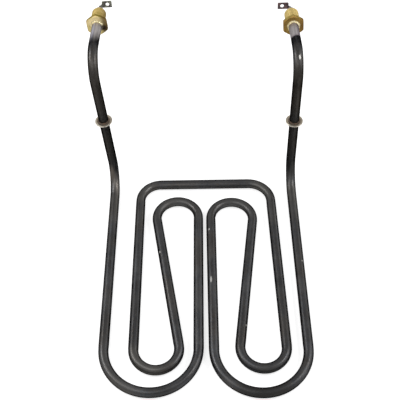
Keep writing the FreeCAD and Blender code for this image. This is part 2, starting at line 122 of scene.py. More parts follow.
# A group that takes a place and some numbers, and puts out masks and heights
def newGroup(name, outputs, **numbers):
    tree = bpy.data.node_groups.new(name, "ShaderNodeTree")
    tree.interface.new_socket(name="Vector", in_out="INPUT", socket_type="NodeSocketVector")
    for label, value in numbers.items():
        socket = tree.interface.new_socket(name=label, in_out="INPUT", socket_type="NodeSocketFloat")
        socket.default_value = value
    for label in outputs:
        tree.interface.new_socket(name=label, in_out="OUTPUT", socket_type="NodeSocketFloat")
    return tree, tree.nodes.new("NodeGroupInput").outputs, tree.nodes.new("NodeGroupOutput").inputs


def useGroup(tree, group, vector, settings):
    return addNode(tree, "Group", {"Vector": vector, **settings}, node_tree=group).outputs


def newMaterial(name):
    material = bpy.data.materials.new(name)
    material.use_nodes = True
    tree = material.node_tree
    return material, tree, tree.nodes["Principled BSDF"]


def attribute(tree, name):
    return addNode(tree, "Attribute", attribute_name=name).outputs["Vector"]


def feed(tree, shader, **values):
    for name, value in values.items():
        give(tree, shader.inputs[name.replace("_", " ")], value)


def setBump(tree, shader, height, strength, distance):  # distance in millimetres
    bump = addNode(tree, "Bump", {"Height": height, "Strength": strength, "Distance": distance * mm})
    tree.links.new(bump.outputs[0], shader.inputs["Normal"])


# Effects that several finishes share
effects = {
    "cloudRoughness": 0.6,
    "lineDetail": 5.0,
    "lineRoughness": 0.65,
    "lineEdge": (0.35, 0.65),
    "chipWander": 3.0,  # how far a chip's outline strays, in millimetres
    "chipWanderScale": 900.0,
    "chipWanderDetail": 3.0,
    "chipEdge": 0.6,  # share of a chip's size where it starts to fade
}


def makeMottle(values):  # cloudy patches, with a sharper or softer edge
    tree, given, result = newGroup("mottle", ("Mask", "Height"), Scale=100.0, Detail=4.0, Low=0.4, High=0.6)
    inputs = {"Vector": given["Vector"], "Scale": given["Scale"], "Detail": given["Detail"],
              "Roughness": values["cloudRoughness"]}
    clouds = addNode(tree, "TexNoise", inputs).outputs["Fac"]
    give(tree, result["Mask"], rangeMask(tree, clouds, given["Low"], given["High"]))
    give(tree, result["Height"], clouds)
    return tree


def makeStreaks(values):  # fine lines that run along z of the vector
    tree, given, result = newGroup("streaks", ("Mask", "Height"), Fineness=900.0, Stretch=0.03)
    stretch = addNode(tree, "CombineXYZ", {"X": 1.0, "Y": 1.0, "Z": given["Stretch"]}).outputs[0]
    vector = vectorCalc(tree, "MULTIPLY", given["Vector"], stretch)
    inputs = {"Vector": vector, "Scale": given["Fineness"], "Detail": values["lineDetail"],
              "Roughness": values["lineRoughness"]}
    lines = addNode(tree, "TexNoise", inputs).outputs["Fac"]
    give(tree, result["Mask"], rangeMask(tree, lines, *values["lineEdge"]))
    give(tree, result["Height"], lines)
    return tree


def makeSpecks(values):  # scattered small chips
    tree, given, result = newGroup("specks", ("Mask",), Scale=120.0, Size=0.2, Share=0.2)
    inputs = {"Vector": given["Vector"], "Scale": values["chipWanderScale"],
              "Detail": values["chipWanderDetail"]}
    wander = addNode(tree, "TexNoise", inputs).outputs["Color"]
    shift = vectorCalc(tree, "SUBTRACT", wander, (0.5, 0.5, 0.5))
    shift = vectorCalc(tree, "MULTIPLY", shift, (values["chipWander"] * mm,) * 3)
    vector = vectorCalc(tree, "ADD", given["Vector"], shift)
    cells = addNode(tree, "TexVoronoi", {"Vector": vector, "Scale": given["Scale"]}).outputs
    chosen = calc(tree, "LESS_THAN", split(tree, cells["Color"])[0], given["Share"])
    fading = times(tree, given["Size"], values["chipEdge"])
    near = inverted(tree, rangeMask(tree, cells["Distance"], fading, given["Size"]))
    give(tree, result["Mask"], times(tree, chosen, near))
    return tree


def makeTurning():  # rings left by the tool on a turned face, across z
    tree, given, result = newGroup("turningMarks", ("Height",), Pitch=0.00018)
    parts = split(tree, given["Vector"])
    along = calc(tree, "ADD", parts[2], fromAxis(tree, parts))
    turns = calc(tree, "DIVIDE", times(tree, along, 2 * math.pi), given["Pitch"])
    give(tree, result["Height"], calc(tree, "SINE", turns))
    return tree


mottle = makeMottle(effects)
streaks = makeStreaks(effects)
specks = makeSpecks(effects)
turningMarks = makeTurning()

# The camera stands where the photograph was taken from
photoCamera = {
    "target": (0.0024, 0.0555, 0.0),  # metres
    "azimuth": -0.169,  # degrees
    "elevation": 51.928,
    "roll": 0.755,
    "distance": 0.983,
    "focalPixels": 821.5,  # in the photograph's own 400 pixels
    "imagePixels": 400,
    "sensorWidth": 36.0,
    "clipEnd": 20.0,
}


def makeCamera(values):
    azimuth = math.radians(values["azimuth"])
    elevation = math.radians(values["elevation"])
    level = math.cos(elevation)
    back = Vector((math.sin(azimuth) * level, -math.cos(azimuth) * level, math.sin(elevation)))
    right = (-back).cross(Vector((0, 0, 1))).normalized()
    right = Matrix.Rotation(-math.radians(values["roll"]), 3, back) @ right
    data = bpy.data.cameras.new("photoCamera")
    data.sensor_width = values["sensorWidth"]
    data.lens = values["focalPixels"] / values["imagePixels"] * data.sensor_width
    data.clip_end = values["clipEnd"]
    camera = bpy.data.objects.new("photoCamera", data)
    bpy.context.scene.collection.objects.link(camera)
    axes = Matrix((right, back.cross(right), back)).transposed()
    place = Vector(values["target"]) + back * values["distance"]
    camera.matrix_world = Matrix.Translation(place) @ axes.to_4x4()
    bpy.context.scene.camera = camera


makeCamera(photoCamera)

# Plain white studio: a pale floor that keeps the shadow, and soft light from above
studio = {
    "floorSize": 8.0,
    "floorDrop": 0.1,  # millimetres below the sheath
    "floorColour": (0.60, 0.60, 0.60, 1.0),
    "floorGlow": 0.68,  # share of plain white that the camera sees on the floor
    "ambient": 0.45,
    "boxes": (  # place, long and short side, watts
        ((-0.82, 0.15, 0.74), 0.70, 0.20, 4.6),
        ((0.95, 0.20, 0.42), 1.40, 0.18, 2.2),
        ((0.74, -0.05, 0.84), 0.40, 0.20, 3.4),
        ((-0.22, -0.27, 0.60), 0.50, 0.40, 1.1),
    ),
}


def seenDirectly(tree):  # 1 for what the camera sees, also in a mirror or through glass
    rays = addNode(tree, "LightPath").outputs
    seen = calc(tree, "MAXIMUM", rays["Is Camera Ray"], rays["Is Glossy Ray"])
    return calc(tree, "MAXIMUM", seen, rays["Is Transmission Ray"])


def makeStudio(values):
    scene = bpy.context.scene
    scene.view_settings.view_transform = "Standard"
    scene.world = bpy.data.worlds.new("studio")
    scene.world.use_nodes = True
    tree = scene.world.node_tree
    strength = mixValue(tree, seenDirectly(tree), values["ambient"], 1.0)
    feed(tree, tree.nodes["Background"], Color=(1, 1, 1, 1), Strength=strength)
    bpy.ops.mesh.primitive_plane_add(size=values["floorSize"], location=(0, 0, -values["floorDrop"] * mm))
    floor = bpy.context.object
    floor.name = "floor"
    material, tree, shader = newMaterial("floor")
    glow = times(tree, seenDirectly(tree), values["floorGlow"])
    feed(tree, shader, Base_Color=values["floorColour"], Roughness=1.0, Specular_IOR_Level=0.0)
    feed(tree, shader, Emission_Color=(1, 1, 1, 1), Emission_Strength=glow)
    floor.data.materials.append(material)
    for number, (place, long, short, power) in enumerate(values["boxes"]):
        light = bpy.data.lights.new("softBox%d" % number, "AREA")
        light.shape = "RECTANGLE"
        light.size = long
        light.size_y = short
        light.energy = power
        box = bpy.data.objects.new(light.name, light)
        scene.collection.objects.link(box)
        box.location = place
        box.rotation_euler = (-Vector(place)).to_track_quat("-Z", "Y").to_euler()


makeStudio(studio)
print("camera and studio ready")

# The element's own sizes, in millimetres, as the solids have them
element = {
    "origin": (7.8, -199.1),  # middle line and front line of the serpentine
    "sheathRadius": 5.46,
    "barY": 274.2,
    "lowerBend": 30.7,
    "riser": 126.0,
    "drop": 9.0,  # degrees below level
    "toBushing": 38.8,
    "hexagon": 4.8,
    "barrel": 22.2,
    "reach": 1.5,
    "runStep": 4.0,  # from one station to the next
    "endStep": 2.0,
    "bendStep": 3.0,  # degrees
}
halves = {  # places and radii of the bends, as (x, y, radius); lean and turn are in degrees
    "left": {
        "side": -1, "corner": (51.6, 24.0),
        "loops": ((53.6, 54.0, 23.9), (31.7, 224.2, 24.1), (59.0, 55.1, 49.6)),
        "foot": (106.8, 256.8), "lean": 3.2, "upperBend": 26.8, "washer": 67.8, "turn": 27.7,
    },
    "right": {
        "side": 1, "corner": (52.2, 26.3),
        "loops": ((58.2, 54.4, 24.2), (31.1, 221.9, 24.3), (55.7, 52.5, 49.1)),
        "foot": (104.0, 257.4), "lean": -1.1, "upperBend": 24.1, "washer": 62.4, "turn": 27.4,
    },
}


# A pen that draws the centreline: it keeps its place, heading and upper side, and
# notes a station every few millimetres
class Pen:
    def __init__(self, place, heading):
        self.place = Vector(place)
        self.heading = Vector(heading)
        self.upper = Vector((0, 0, 1))
        self.length = 0.0
        self.stations = []
        self.note(0.0, Vector())

    def note(self, step, inward):
        self.length += step
        station = (self.place.copy(), self.heading.copy(), self.upper.copy(), self.length, inward)
        self.stations.append(station)

    def run(self, length, spacing=element["runStep"]):
        count = max(1, math.ceil(length / spacing))
        for number in range(count):
            self.place += self.heading * (length / count)
            self.note(length / count, Vector())

    def bend(self, radius, angle, axis, spacing=math.radians(element["bendStep"])):
        count = max(1, math.ceil(abs(angle) / spacing))
        centre = self.place + axis.cross(self.heading) * math.copysign(radius, angle)
        turn = Matrix.Rotation(angle / count, 3, axis)
        for number in range(count):
            self.place = centre + turn @ (self.place - centre)
            self.heading = turn @ self.heading
            self.upper = turn @ self.upper
            self.note(radius * abs(angle) / count, (centre - self.place).normalized())


# Heading and length of the run that touches two bends; turn is 1 for a left-hand bend
def tangentRun(centre, radius, turn, nextCentre, nextRadius, nextTurn):
    across = nextCentre - centre
    offset = nextTurn * nextRadius - turn * radius
    heading = math.atan2(across.y, across.x) - math.asin(offset / across.length)
    left = Vector((-math.sin(heading), math.cos(heading)))
    return heading, (across - left * offset).length


# Draws one half of the element, from the middle of the cross bar to the end of
# the sheath, and tells where its leg and its straight end start
def drawHalf(half):
    side = half["side"]
    cornerX, cornerRadius = half["corner"]
    centres = [Vector((side * cornerX, element["barY"] - cornerRadius))]
    centres += [Vector((side * x, y)) for x, y, radius in half["loops"]]
    centres.append(Vector((side * half["foot"][0], half["foot"][1])))
    radii = [cornerRadius] + [radius for x, y, radius in half["loops"]] + [0.0]
    turns = [-side, -side, side, side, side]
    pen = Pen((0, element["barY"], element["sheathRadius"]), (side, 0, 0))
    pen.run(cornerX)
    heading = 0.0 if side > 0 else math.pi
    level = Vector((0, 0, 1))
    for number in range(len(turns) - 1):
        following, length = tangentRun(centres[number], radii[number], turns[number],
                                       centres[number + 1], radii[number + 1], turns[number + 1])
        angle = (turns[number] * (following - heading)) % (2 * math.pi)
        pen.bend(radii[number], turns[number] * angle, level)
        pen.run(length)
        heading = following
    outward = pen.heading.cross(level) * side
    lean = math.radians(half["lean"])
    rise = level * math.cos(lean) + outward * math.sin(lean)
    across = pen.heading.cross(rise)
    pen.bend(element["lowerBend"], math.pi / 2, across)
    leg = len(pen.stations) - 1
    pen.run(element["riser"])
    pen.bend(half["upperBend"], math.pi / 2 + math.radians(element["drop"]), -across)
    top = len(pen.stations) - 1
    straight = element["toBushing"] + element["hexagon"] + element["barrel"] + element["reach"]
    pen.run(straight, element["endStep"])
    return pen.stations, leg, top


def toFrame(place):  # from the serpentine's millimetres to the part's metres
    return Vector((place.x + element["origin"][0], place.y + element["origin"][1], place.z)) * mm


routes = {name: drawHalf(half) for name, half in halves.items()}


# A frame on the leg with z along the sheath and y towards upright
def localFrame(station, distance, upright):
    place, heading, upper = station[:3]
    zAxis = heading.normalized()
    yAxis = (upright - zAxis * upright.dot(zAxis)).normalized()
    xAxis = yAxis.cross(zAxis)
    axes = Matrix((xAxis, yAxis, zAxis)).transposed().to_4x4()
    return Matrix.Translation(toFrame(place + zAxis * distance)) @ axes


def endFrame(name, distance):
    stations, leg, top = routes[name]
    rise = stations[leg][1]  # the leg's own heading, so a leaned leg leans its end too
    return localFrame(stations[top], distance, rise)


def riserFrame(name, distance):
    stations, leg, top = routes[name]
    return localFrame(stations[leg], distance, Vector((0, 1, 0)))


print("route drawn:", round(sum(route[0][-1][3] for route in routes.values())), "mm of sheath")


# Skins rows of points, each a closed ring seen counterclockwise from the next row,
# into one smooth mesh. For the material each point carries its place in the piece's
# own straight frame, and may carry where it lies along the element or how worn it is.
def skinRings(name, rows, ownRows, zoneRows=None, loop=False, capped=False, sharp=40):
    count = len(rows[0])
    faces = []
    for row in range(len(rows) if loop else len(rows) - 1):
        first = row * count
        second = (row + 1) % len(rows) * count
        for k in range(count):
            following = (k + 1) % count
            faces.append((first + k, first + following, second + following, second + k))
    if capped:
        faces.append(tuple(reversed(range(count))))
        faces.append(tuple(range((len(rows) - 1) * count, len(rows) * count)))
    mesh = bpy.data.meshes.new(name)
    mesh.from_pydata([point for row in rows for point in row], [], faces)
    mesh.polygons.foreach_set("use_smooth", [True] * len(mesh.polygons))
    mesh.set_sharp_from_angle(angle=math.radians(sharp))
    for label, given in (("own", ownRows), ("zone", zoneRows)):
        if given:
            values = mesh.attributes.new(label, "FLOAT_VECTOR", "POINT")
            values.data.foreach_set("vector", [value for row in given for point in row for value in point])
    piece = bpy.data.objects.new(name, mesh)
    bpy.context.scene.collection.objects.link(piece)
    return piece


def finishPiece(piece, material, node):
    piece.data.materials.append(material)
    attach(piece, "root")
    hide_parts(node)


def circle(radius, height, count):
    angles = [2 * math.pi * k / count for k in range(count)]
    return [Vector((radius * math.cos(angle), radius * math.sin(angle), height)) for angle in angles]


# The sheath: one drawn tube from end to end, a little flattened where it is bent.
# Its finish is told by places along the element: from the middle of the bar, from
# the foot of each leg, or back from each bushing, all in millimetres.
sheath = {
    "around": 40,
    "wall": 0.9,
    "flattening": 0.025,  # share of its radius lost towards a bend's outside
    "endBevel": 0.15,
    "sealDepth": 10.0,
    "pinRadius": 1.75,
    "pinDepth": 60.0,
    "edgeTint": (0.0, 0.0, 0.0, 1),  # the oxide dulls what it mirrors at a slant
    "dark": (0.034, 0.034, 0.037, 1),
    "darker": (0.0125, 0.0120, 0.0110, 1),
    "greyed": (0.085, 0.086, 0.087, 1),
    "blued": (0.078, 0.086, 0.098, 1),
    "brown": (0.062, 0.050, 0.037, 1),
    "browned": (0.105, 0.090, 0.074, 1),
    "warmed": (0.115, 0.105, 0.095, 1),
    # painted light: the paler tone of the stretches below; the next one, burnt, is their darker tone of
    # painted shade
    "paintedLightTone": (0.090, 0.086, 0.079, 1),
    "burnt": (0.0125, 0.0108, 0.0085, 1),
    # bright metal of the chips and scuffs, and of the painted highlights among the scuffs
    "scuffedAndHighlight": (0.56, 0.55, 0.52, 1),
    "bare": (0.41, 0.385, 0.38, 1),
    "bareDull": (0.28, 0.26, 0.26, 1),
    # the bluish tone of a painted highlight on the bare metal
    "bareBlueHighlight": (0.45, 0.45, 0.55, 1),
    # the tint at the bare end of the right leg, and the painted shade on its one side
    "tintAndShade": (0.135, 0.10, 0.13, 1),
    "fineLines": {"Fineness": 1500.0, "Stretch": 0.02},
    "middlingLines": {"Fineness": 560.0, "Stretch": 0.035},
    "broadLines": {"Fineness": 260.0, "Stretch": 0.08},
    "clouds": {"Scale": 38.0, "Low": 0.38, "High": 0.66},
    "brownClouds": {"Scale": 13.0, "Detail": 2.0, "Low": 0.50, "High": 0.62},
    "blotches": {"Scale": 420.0, "Detail": 4.0, "Low": 0.40, "High": 0.62},
    "speckle": {"Scale": 1000.0, "Detail": 2.0, "Low": 0.46, "High": 0.62},
    "grain": {"Scale": 2600.0, "Detail": 2.0},
    "chips": {"Scale": 150.0, "Size": 0.17, "Share": 0.07},
    "shares": {  # how much of a tone each layer lays over the oxide
        "clouds": 0.45, "broadLines": 0.35, "middlingLines": 0.38, "fineLines": 0.25, "blotches": 0.26,
        "brownClouds": 0.24, "riser": 0.88, "riserLines": 0.22, "upperRiser": 0.30, "lowRiser": 0.35,
        "speckle": 0.30, "underside": 0.62, "chips": 0.45, "warmFoot": 0.85, "brownFoot": 0.60,
        "scuffs": 0.9, "bareDull": 0.8, "blueStreak": 0.65, "tintedEnd": 0.55, "tintedSide": 0.65,
    },
    "riserShadeFrom": (-25.0, 25.0),  # from the foot: where the painted shade on the upright riser sets in and fades
    "riserShadeTo": (128.0, 156.0),
    "upperRiser": (80.0, 155.0, 20.0),  # from, to, softness
    "lowRiser": (10.0, 50.0, 20.0),
    # painted shade on the tube's lower side: none at the first height above the middle, full at the second,
    # in millimetres
    "underside": (1.0, -3.5),
    "warmFoot": (-48.0, -24.0, 10.0),  # a paler heat stain on one side of the left foot
    "warmSide": (4.0, -3.0),
    "warmLeast": 0.6,
    "brownFoot": (-28.0, -6.0, 12.0),  # and a brown one on its other side
    "brownSide": (-4.0, 2.0),
    "stretchEdge": 8.0,
    "paintedLightStretches": (  # painted light and shade: stretches made paler or darker where the lamps fall more or less on the tube; from, to, tone and share of it
        (58.0, 96.0, "paintedLightTone", 0.50), (100.0, 130.0, "paintedLightTone", 0.25), (205.0, 290.0, "burnt", 0.26),
        (366.0, 408.0, "burnt", 0.18), (528.0, 614.0, "paintedLightTone", 0.28), (936.0, 978.0, "burnt", 0.22),
        (1094.0, 1142.0, "paintedLightTone", 0.35),
    ),
    "leftPaintedLightStretches": (
        (286.0, 326.0, "paintedLightTone", 0.52), (832.0, 856.0, "burnt", 0.25), (868.0, 932.0, "paintedLightTone", 0.28),
        (1306.0, 1330.0, "burnt", 0.20),
    ),
    "rightPaintedLightStretches": (
        (312.0, 338.0, "burnt", 0.20), (350.0, 366.0, "burnt", 0.18), (828.0, 882.0, "burnt", 0.50),
        (1124.0, 1150.0, "paintedLightTone", 0.50), (1158.0, 1185.0, "burnt", 0.30),
        (1300.0, 1326.0, "burnt", 0.38),
    ),
    "scuffs": (  # scratched and rubbed spots, some of them painted highlights, on the top of the tube: along, across, half length, half width
        (1335.5, 1.0, 2.6, 1.3), (694.5, 1.4, 5.0, 1.3), (626.5, 2.4, 1.8, 0.9),
        (1038.0, 2.9, 1.2, 0.7), (388.0, 4.2, 1.6, 0.8), (-482.0, 3.4, 2.0, 0.8),
    ),
    "scuffEdge": (0.4, 1.0),
    "scuffLeast": 0.45,
    "leftBare": (17.0, 40.0),  # back from the bushing: where the oxide fades in
    "leftSlant": -0.6,  # how much that edge leans across the leg
    "leftRagged": (8.0, 20.0),  # by the clouds and by the drawn lines
    "rightBare": (25.8, 28.2),
    "rightSlant": 0.27,
    "rightRagged": 1.2,
    "blueStreak": (1.2, 3.2, 0.7),  # painted highlight: a bluish streak beside the top of the left leg
    "tintedEnd": (23.0, 27.0),
    # painted shade: the right leg's bare metal darker towards one side
    "tintedSide": (1.2, 4.2),
    "oxideRoughness": (0.32, 0.45),
    "bareRoughness": (0.34, 0.48),
    "bareMetal": 0.75,
    "specular": 0.2,
    "bump": (0.35, 0.15),  # strength and height
    "linesInBump": 0.6,
    "grainInBump": 0.4,
}


def sheathRows(values):
    count = values["around"]
    radius = element["sheathRadius"]
    stations = []
    for name, half in halves.items():
        sign = half["side"]
        drawn, leg, top = routes[name]
        face = drawn[top][3] + element["toBushing"]
        foot = drawn[leg][3]
        rows = [(place, heading * sign, upper, sign * length, inward, (face - length, length - foot, sign))
                for place, heading, upper, length, inward in drawn]
        stations += reversed(rows[1:]) if sign < 0 else rows
    rows, own, zones = [], [], []

    def addRow(station, ringRadius):
        place, heading, upper, along, inward, zone = station
        across = heading.cross(upper)
        ring = []
        for k in range(count):
            angle = 2 * math.pi * k / count
            outward = upper * math.cos(angle) + across * math.sin(angle)
            flat = 1 - values["flattening"] * abs(outward.dot(inward)) ** 2
            ring.append(toFrame(place + outward * ringRadius * flat))
        rows.append(ring)
        own.append([point * mm for point in circle(ringRadius, along, count)])
        zones.append([Vector(zone) * mm] * count)

    # An open end, as (radius, depth): the pin's bore, the seal's bore and the rim
    bore = radius - values["wall"]
    bevel = values["endBevel"]
    mouth = ((values["pinRadius"], values["pinDepth"]), (values["pinRadius"], values["sealDepth"]),
             (bore, values["sealDepth"]), (bore, 0.0), (radius - bevel, 0.0), (radius, bevel))

    def addMouth(station, sign, profile):
        place, heading, upper, along, inward, (fromFace, fromFoot, side) = station
        for ringRadius, depth in profile:
            sunk = place - heading * sign * depth
            zone = (fromFace + depth, fromFoot - depth, side)
            addRow((sunk, heading, upper, along - sign * depth, inward, zone), ringRadius)

    addMouth(stations[0], -1, mouth)
    for station in stations[1:-1]:
        addRow(station, radius)
    addMouth(stations[-1], 1, tuple(reversed(mouth)))
    return rows, own, zones


# scratched spots and painted highlights, only on the tube's upper side
def scuffAndHighlightMask(tree, own, place, scratches, values):
    mask = 0.0
    for along, across, length, width in values["scuffs"]:
        centre = addNode(tree, "CombineXYZ", {"X": place[0], "Y": across * mm, "Z": along * mm}).outputs[0]
        shrink = (1.0, 1 / (width * mm), 1 / (length * mm))
        away = vectorCalc(tree, "MULTIPLY", vectorCalc(tree, "SUBTRACT", own, centre), shrink)
        near = inverted(tree, rangeMask(tree, distanceFrom(tree, away), *values["scuffEdge"]))
        mask = calc(tree, "MAXIMUM", near, mask)
    onTop = calc(tree, "GREATER_THAN", place[0], 0.0)
    return times(tree, mask, onTop, mixValue(tree, scratches, values["scuffLeast"], 1.0))


def sheathMaterial(values):
    material, tree, shader = newMaterial("oxidisedSheath")
    own = attribute(tree, "own")
    place = split(tree, own)
    fromFace, fromFoot, side = split(tree, attribute(tree, "zone"))
    onRight = calc(tree, "GREATER_THAN", side, 0.0)
    onLeft = inverted(tree, onRight)
    fine, middling, broad = (useGroup(tree, streaks, own, values[name])
                             for name in ("fineLines", "middlingLines", "broadLines"))
    clouds, brownClouds, blotches, speckle, grain = (
        useGroup(tree, mottle, own, values[name])
        for name in ("clouds", "brownClouds", "blotches", "speckle", "grain"))
    chips = useGroup(tree, specks, own, values["chips"])

    # The oxide: streaked by the drawing and clouded by the heat; painted shade darkens the upright risers
    riserPaintedShade = calc(tree, "SUBTRACT", reachMask(tree, fromFoot, values["riserShadeFrom"]),
                   reachMask(tree, fromFoot, values["riserShadeTo"]))
    lowRiser = times(tree, band(tree, fromFoot, *values["lowRiser"]), clouds["Height"])
    oxide = layTones(tree, values["dark"], (
        ("clouds", clouds["Mask"], "greyed"),
        ("broadLines", broad["Mask"], "darker"),
        ("middlingLines", middling["Mask"], "blued"),
        ("fineLines", fine["Mask"], "darker"),
        ("blotches", blotches["Mask"], "brown"),
        ("brownClouds", brownClouds["Mask"], "brown"),
        # painted shade: the upright risers darker, as less light falls on them
        ("riser", riserPaintedShade, "darker"),
        ("riserLines", times(tree, riserPaintedShade, fine["Mask"]), "greyed"),
        ("upperRiser", band(tree, fromFoot, *values["upperRiser"]), "brown"),
        ("lowRiser", lowRiser, "brown"),
        ("speckle", speckle["Mask"], "greyed"),
        # painted shade under the tube
        ("underside", reachMask(tree, place[0], values["underside"]), "darker"),
    ), values)
    # painted light and shade along the tube, stretch by stretch
    along = calc(tree, "ABSOLUTE", place[2])
    for paintedLightStretches, where in (("paintedLightStretches", 1.0), ("leftPaintedLightStretches", onLeft), ("rightPaintedLightStretches", onRight)):
        for start, end, tone, share in values[paintedLightStretches]:
            reached = band(tree, along, start, end, values["stretchEdge"])
            oxide = mixColour(tree, times(tree, reached, where, share), oxide, values[tone])
    warm = times(tree, band(tree, fromFoot, *values["warmFoot"]), onLeft,
                 reachMask(tree, place[1], values["warmSide"]),
                 mixValue(tree, broad["Mask"], values["warmLeast"], 1.0))
    brown = times(tree, band(tree, fromFoot, *values["brownFoot"]), onLeft,
                  reachMask(tree, place[1], values["brownSide"]))
    oxide = layTones(tree, oxide, (
        ("chips", chips["Mask"], "scuffedAndHighlight"),
        ("warmFoot", warm, "warmed"),
        ("brownFoot", brown, "browned"),
        ("scuffs", scuffAndHighlightMask(tree, own, place, fine["Mask"], values), "scuffedAndHighlight"),
    ), values)

    # The bare stretch by the bushing: a sharp slanted end on the right, a soft one on the left
    byClouds, byLines = values["leftRagged"]
    edgeLeft = calc(tree, "MULTIPLY_ADD", place[1], values["leftSlant"], fromFace)
    edgeLeft = ragged(tree, ragged(tree, edgeLeft, clouds["Height"], byClouds), middling["Height"], byLines)
    edgeRight = calc(tree, "MULTIPLY_ADD", place[1], values["rightSlant"], fromFace)
    edgeRight = ragged(tree, edgeRight, blotches["Height"], values["rightRagged"])
    isDark = mixValue(tree, onRight, reachMask(tree, edgeLeft, values["leftBare"]),
                      reachMask(tree, edgeRight, values["rightBare"]))
    # a painted highlight along one side of the left leg's bare metal
    blueHighlightMask = times(tree, band(tree, place[1], *values["blueStreak"]), onLeft)
    tintedEnd = times(tree, reachMask(tree, edgeRight, values["tintedEnd"]), onRight)
    # painted shade on one side of the right leg's bare metal
    tintedSide = times(tree, reachMask(tree, place[1], values["tintedSide"]), onRight)
    bare = layTones(tree, values["bare"], (
        ("bareDull", middling["Mask"], "bareDull"),
        ("blueStreak", blueHighlightMask, "bareBlueHighlight"),
        ("tintedEnd", tintedEnd, "tintAndShade"),
        ("tintedSide", tintedSide, "tintAndShade"),
    ), values)
    bareRoughness = mixValue(tree, fine["Mask"], *values["bareRoughness"])
    oxideRoughness = mixValue(tree, clouds["Mask"], *values["oxideRoughness"])
    feed(tree, shader, Base_Color=mixColour(tree, isDark, bare, oxide),
         Roughness=mixValue(tree, isDark, bareRoughness, oxideRoughness),
         Metallic=mixValue(tree, isDark, values["bareMetal"], 1.0),
         Specular_IOR_Level=values["specular"], Specular_Tint=values["edgeTint"])
    height = calc(tree, "MULTIPLY_ADD", middling["Height"], values["linesInBump"],
                  times(tree, grain["Height"], values["grainInBump"]))
    setBump(tree, shader, height, *values["bump"])
    return material


def makeSheath(values):
    rows, own, zones = sheathRows(values)
    piece = skinRings("sheath", rows, own, zones, capped=True)
    finishPiece(piece, sheathMaterial(values), "heating_tube")
    print("sheath skinned:", len(rows), "rings")


makeSheath(sheath)


# A turned piece: its profile is a list of (radius, height) in millimetres, swung
# round the z of its frame; shape may change a point by its angle, and marked may
# tell the material where the worn edges are
def turnPiece(name, frameMatrix, profile, count, shape=None, sharp=60, marked=None):
    rows, own, marks = [], [], []
    for number, (radius, height) in enumerate(profile):
        ring = circle(1.0, 0.0, count)
        for k, point in enumerate(ring):
            angle = 2 * math.pi * k / count
            r, z = shape(number, radius, height, angle) if shape else (radius, height)
            point.x *= r * mm
            point.y *= r * mm
            point.z = z * mm
        own.append(ring)
        rows.append([frameMatrix @ point for point in ring])
        if marked:
            marks.append([Vector((marked(number, k), 0, 0)) for k in range(count)])
    return skinRings(name, rows, own, marks, loop=True, sharp=sharp)


# Brass bulkhead bushing
bushing = {
    "around": 96,
    "sharp": 30,  # degrees
    "width": 22.2,
    "chamfer": 1.1,
    "cornerWear": 0.25,
    "edgeWear": 0.22,
    "edgeRows": (0.0, 0.5, 1.0, 3.5),  # from the turned cone to the flat, in shares of that wear
    "edgeShift": 0.35,
    "leastCut": 0.03,
    "faceRing": 7.5,
    "faceLift": 0.02,
    "rounding": 0.3,
    "bore": 5.52,
    "threadRadius": 7.94,
    "relief": 2.2,
    "reliefDepth": 0.9,
    "reliefRunOut": 0.5,
    "lead": 1.2,
    "endFlat": 0.4,
    "pitch": 1.411,
    "threadDepth": 0.75,
    "threadRunIn": 0.7,
    "rootShare": 0.14,  # of half a pitch
    "flankShare": 0.66,
    "perTurn": 10,
    "barrelBrass": (0.33, 0.25, 0.080, 1),
    "barrelPale": (0.54, 0.42, 0.18, 1),
    # painted light in the relief groove, where it lies in shade
    "reliefPaintedLight": (0.72, 0.58, 0.28, 1),
    "edgeTint": (0.42, 0.33, 0.16, 1),
    "wornEdge": (0.29, 0.160, 0.050, 1),
    "soot": (0.028, 0.018, 0.013, 1),
    "spilt": (0.74, 0.62, 0.36, 1),  # braze that wetted the near face
    "turning": {"Pitch": 0.00021},
    "clouds": {"Scale": 170.0, "Low": 0.40, "High": 0.68},
    "patches": {"Scale": 130.0, "Detail": 3.0, "Low": 0.44, "High": 0.66},
    "grain": {"Scale": 900.0, "Detail": 3.0},
    "barrelFrom": (4.6, 5.2),  # heights above the near face
    "flatFrom": (0.2, 1.2),
    "reliefBand": (4.8, 7.0, 0.3),
    "reliefLightShare": 0.8,
    "wearPower": 2.0,
    "spillReach": (8.5, 13.5),
    "spillRagged": 3.0,
    "spillAbove": (-1.0, 5.0),
    "spillTilt": 0.6,
    "rightShadeRagged": 4.0,
    "rightShadeShares": (0.9, 0.6),  # on the hexagon and on the barrel
    "sootPlace": (-8.0, 1.0, 0.8),
    "sootReach": (1.4, 5.4),
    "sootRagged": 3.0,
    "metal": 0.9,
    "dullSpread": 0.14,
    "grainInBump": 0.4,
    "bump": (0.2, 0.04),
    "finish": {  # one pair of distances tells how far to the right the painted shade starts and is full
        "left": {
            "face": (0.60, 0.50, 0.22, 1), "flat": (0.26, 0.21, 0.048, 1),
            # stain: the tone of the patches, and of the painted shade towards the right
            "stain": (0.12, 0.075, 0.028, 1), "rightShade": (2.5, 9.0),
            "patched": 0.25, "pale": 0.0, "dull": 0.56, "sooty": 1.0, "spill": 0.9,
        },
        "right": {
            "face": (0.29, 0.185, 0.050, 1), "flat": (0.38, 0.30, 0.10, 1),
            "stain": (0.15, 0.085, 0.028, 1), "rightShade": (5.0, 10.5),
            "patched": 0.55, "pale": 0.5, "dull": 0.44, "sooty": 0.0, "spill": 0.0,
        },
    },
}


def hexagonCorner(values):
    return values["width"] / math.sqrt(3)


def hexagonRadius(angle, values):
    toFlat = abs((math.degrees(angle) % 60) - 30)
    radius = values["width"] / 2 / math.cos(math.radians(toFlat))
    return min(radius, hexagonCorner(values) - values["cornerWear"])


def barrelEnds(values):  # where the thread starts and ends above the near face
    return element["hexagon"] + values["relief"], element["hexagon"] + element["barrel"]


